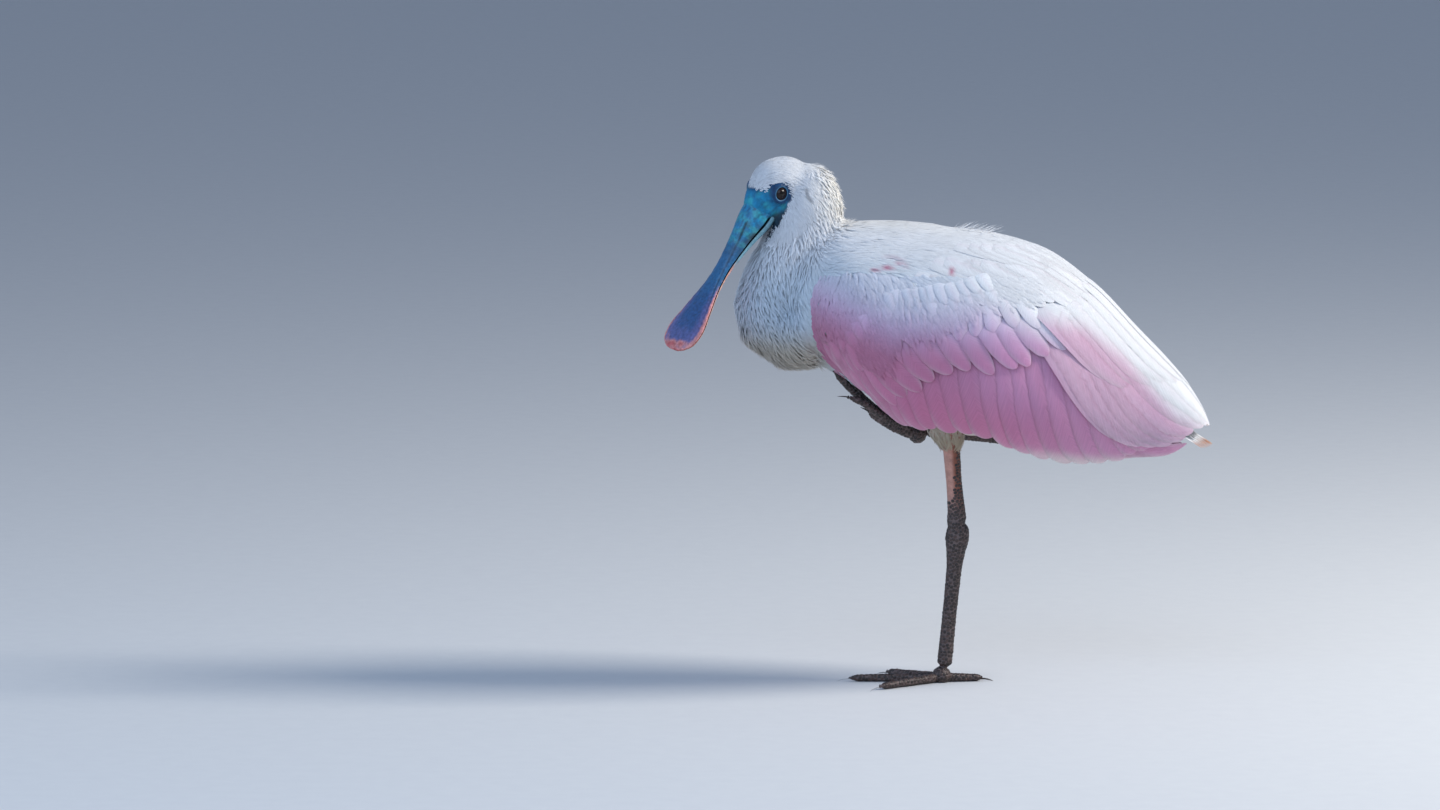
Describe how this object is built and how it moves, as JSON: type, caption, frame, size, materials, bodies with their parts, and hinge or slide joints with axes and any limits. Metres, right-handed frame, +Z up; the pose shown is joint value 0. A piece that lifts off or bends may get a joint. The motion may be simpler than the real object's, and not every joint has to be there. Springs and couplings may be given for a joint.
{
  "type": "standing spoonbill",
  "caption": "Life-size young roseate spoonbill at rest on one leg, with folded wings, bent neck and a long spoon-shaped bill.",
  "frame": {"origin": "on the floor, in the middle of the standing foot's sole, under the joint of its toes", "axes": "+Z up; the bird faces -X; its left side is -Y"},
  "size_m": [0.4661, 0.1755, 0.4503],
  "materials": {
    "feather_white": "matte",
    "feather_pink": "matte",
    "feather_tawny": "matte",
    "bill": "satin",
    "eye": "gloss",
    "leg_skin": "satin",
    "thigh_skin": "satin",
    "claw": "satin"
  },
  "bodies": {
    "root": {"head": "feather_white", "eye_left": "eye", "eye_right": "eye", "bill_upper": "bill", "bill_lower": "bill", "neck": "feather_white", "torso": "feather_white", "tail": "feather_tawny", "wing_left": "feather_pink", "wing_right": "feather_pink", "thigh_left": "feather_white", "tibia_left": "thigh_skin", "tarsus_left": "leg_skin", "foot_left": "leg_skin", "toe_left_inner": "leg_skin", "toe_left_middle": "leg_skin", "toe_left_outer": "leg_skin", "toe_left_hind": "leg_skin", "claw_left_inner": "claw", "claw_left_middle": "claw", "claw_left_outer": "claw", "claw_left_hind": "claw", "tibia_right": "thigh_skin", "tarsus_right": "leg_skin", "foot_right": "leg_skin", "claw_right_inner": "claw", "claw_right_middle": "claw", "claw_right_outer": "claw", "claw_right_hind": "claw"}
  },
  "joints": []
}
